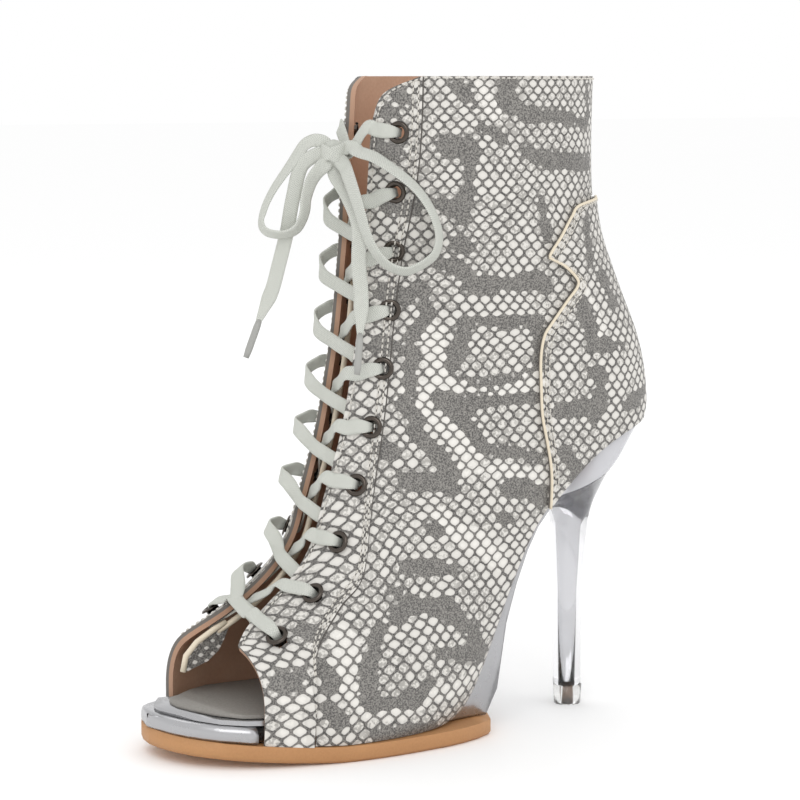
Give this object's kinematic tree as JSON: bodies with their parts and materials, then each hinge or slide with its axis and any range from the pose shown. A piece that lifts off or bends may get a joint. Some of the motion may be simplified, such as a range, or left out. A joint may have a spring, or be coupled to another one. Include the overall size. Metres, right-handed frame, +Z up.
{
  "type": "lace-up dance boot",
  "caption": "Left open-toe lace-up ankle dance boot in snakeskin print with a clear stiletto heel, a thin silver platform and a tied bow.",
  "frame": {"origin": "on the floor under the middle of the ball, in the flat spot of the outsole", "axes": "toe towards -X, outer side towards -Y, +Z up, the boot standing on its forepart and heel tip"},
  "size_m": [0.2151, 0.0807, 0.252],
  "materials": {
    "snakeskin_print": "matt printed scales in off-white and grey with a fine grain",
    "tan_sole": "smooth matt",
    "silver_wrap": "metallic foil, satin",
    "grey_pad": "matt, stitched round its edge",
    "clear_acrylic": "clear and polished",
    "clear_tip": "clear, slightly brown inside",
    "dark_bronze": "dark antique, polished edge",
    "grey_lace": "flat woven cotton",
    "grey_aglet": "thin glossy film"
  },
  "bodies": {
    "root": {"outsole": "tan_sole", "platform": "silver_wrap", "insole": "silver_wrap", "sock_pad": "grey_pad", "heel": "clear_acrylic", "heel_tip": "clear_tip", "upper": "snakeskin_print", "counter": "snakeskin_print", "eyestay_lateral": "snakeskin_print", "eyestay_medial": "snakeskin_print", "tongue": "snakeskin_print", "eyelet_lateral_01": "dark_bronze", "eyelet_lateral_02": "dark_bronze", "eyelet_lateral_03": "dark_bronze", "eyelet_lateral_04": "dark_bronze", "eyelet_lateral_05": "dark_bronze", "eyelet_lateral_06": "dark_bronze", "eyelet_lateral_07": "dark_bronze", "eyelet_lateral_08": "dark_bronze", "eyelet_lateral_09": "dark_bronze", "eyelet_lateral_10": "dark_bronze", "eyelet_medial_01": "dark_bronze", "eyelet_medial_02": "dark_bronze", "eyelet_medial_03": "dark_bronze", "eyelet_medial_04": "dark_bronze", "eyelet_medial_05": "dark_bronze", "eyelet_medial_06": "dark_bronze", "eyelet_medial_07": "dark_bronze", "eyelet_medial_08": "dark_bronze", "eyelet_medial_09": "dark_bronze", "eyelet_medial_10": "dark_bronze", "lace_top": "grey_lace", "lace_crossing_1": "grey_lace", "lace_crossing_2": "grey_lace", "lace_crossing_3": "grey_lace", "lace_crossing_4": "grey_lace", "lace_crossing_5": "grey_lace", "lace_crossing_6": "grey_lace", "lace_crossing_7": "grey_lace", "lace_crossing_8": "grey_lace", "lace_bottom": "grey_lace", "knot": "grey_lace", "loop_left": "grey_lace", "loop_right": "grey_lace", "end_left": "grey_lace", "end_right": "grey_lace", "aglet_left": "grey_aglet", "aglet_right": "grey_aglet"}
  },
  "joints": []
}
